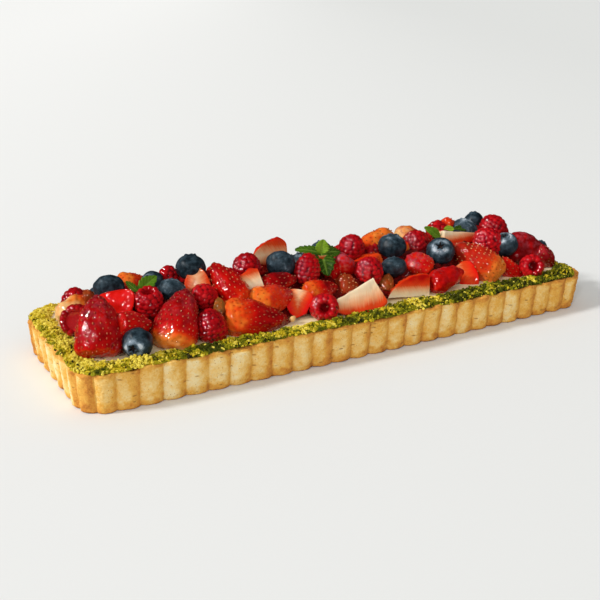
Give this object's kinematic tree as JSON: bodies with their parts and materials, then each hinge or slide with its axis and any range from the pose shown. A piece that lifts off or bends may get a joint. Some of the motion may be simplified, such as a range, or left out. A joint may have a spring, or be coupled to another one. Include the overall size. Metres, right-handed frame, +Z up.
{
  "type": "mixed berry tart",
  "caption": "Long fluted pastry tart filled with pale cream, edged with chopped pistachio and heaped with glazed strawberries, raspberries, blueberries and mint.",
  "frame": {"origin": "middle of the tart's underside", "axes": "+X along the long side, +Y towards the back long side, +Z up"},
  "size_m": [0.35, 0.1142, 0.059],
  "materials": {
    "baked_pastry": "baked golden shortcrust, dry and matte",
    "cream": "smooth ivory cream, satin",
    "chopped_pistachio": "chopped yellow-green nuts, matte",
    "strawberry_skin": "glazed red fruit skin with pale seeds, glossy",
    "raspberry_skin": "glazed crimson drupelets, glossy",
    "blueberry_skin": "dark blue skin with a pale bloom, satin",
    "mint_leaf": "fresh green leaf, satin"
  },
  "bodies": {
    "root": {"crust": "baked_pastry", "cream_filling": "cream", "mint_sprig_middle": "mint_leaf", "mint_sprig_left": "mint_leaf", "mint_leaf_right_1": "mint_leaf", "mint_leaf_right_2": "mint_leaf", "blueberry_01": "blueberry_skin", "blueberry_02": "blueberry_skin", "blueberry_03": "blueberry_skin", "blueberry_04": "blueberry_skin", "blueberry_05": "blueberry_skin", "blueberry_06": "blueberry_skin", "blueberry_08": "blueberry_skin", "blueberry_09": "blueberry_skin", "blueberry_10": "blueberry_skin", "blueberry_11": "blueberry_skin", "blueberry_12": "blueberry_skin", "blueberry_13": "blueberry_skin", "blueberry_14": "blueberry_skin", "raspberry_09": "raspberry_skin", "raspberry_16": "raspberry_skin", "raspberry_06": "raspberry_skin", "raspberry_05": "raspberry_skin", "raspberry_03": "raspberry_skin", "raspberry_11": "raspberry_skin", "raspberry_08": "raspberry_skin", "raspberry_07": "raspberry_skin", "raspberry_10": "raspberry_skin", "raspberry_12": "raspberry_skin", "raspberry_14": "raspberry_skin", "raspberry_15": "raspberry_skin", "raspberry_13": "raspberry_skin", "raspberry_02": "raspberry_skin", "raspberry_01": "raspberry_skin", "strawberry_02": "strawberry_skin", "strawberry_07": "strawberry_skin", "strawberry_10": "strawberry_skin", "strawberry_19": "strawberry_skin", "strawberry_20": "strawberry_skin", "strawberry_03": "strawberry_skin", "strawberry_04": "strawberry_skin", "strawberry_09": "strawberry_skin", "strawberry_06": "strawberry_skin", "strawberry_11": "strawberry_skin", "strawberry_12": "strawberry_skin", "strawberry_15": "strawberry_skin", "strawberry_14": "strawberry_skin", "strawberry_29": "strawberry_skin", "strawberry_30": "strawberry_skin", "strawberry_28": "strawberry_skin", "strawberry_31": "strawberry_skin", "strawberry_32": "strawberry_skin", "strawberry_33": "strawberry_skin", "strawberry_24": "strawberry_skin", "strawberry_16": "strawberry_skin", "strawberry_21": "strawberry_skin", "strawberry_26": "strawberry_skin", "strawberry_01": "strawberry_skin", "fruit_bed": "strawberry_skin", "pistachio_crumb": "chopped_pistachio"}
  },
  "joints": []
}
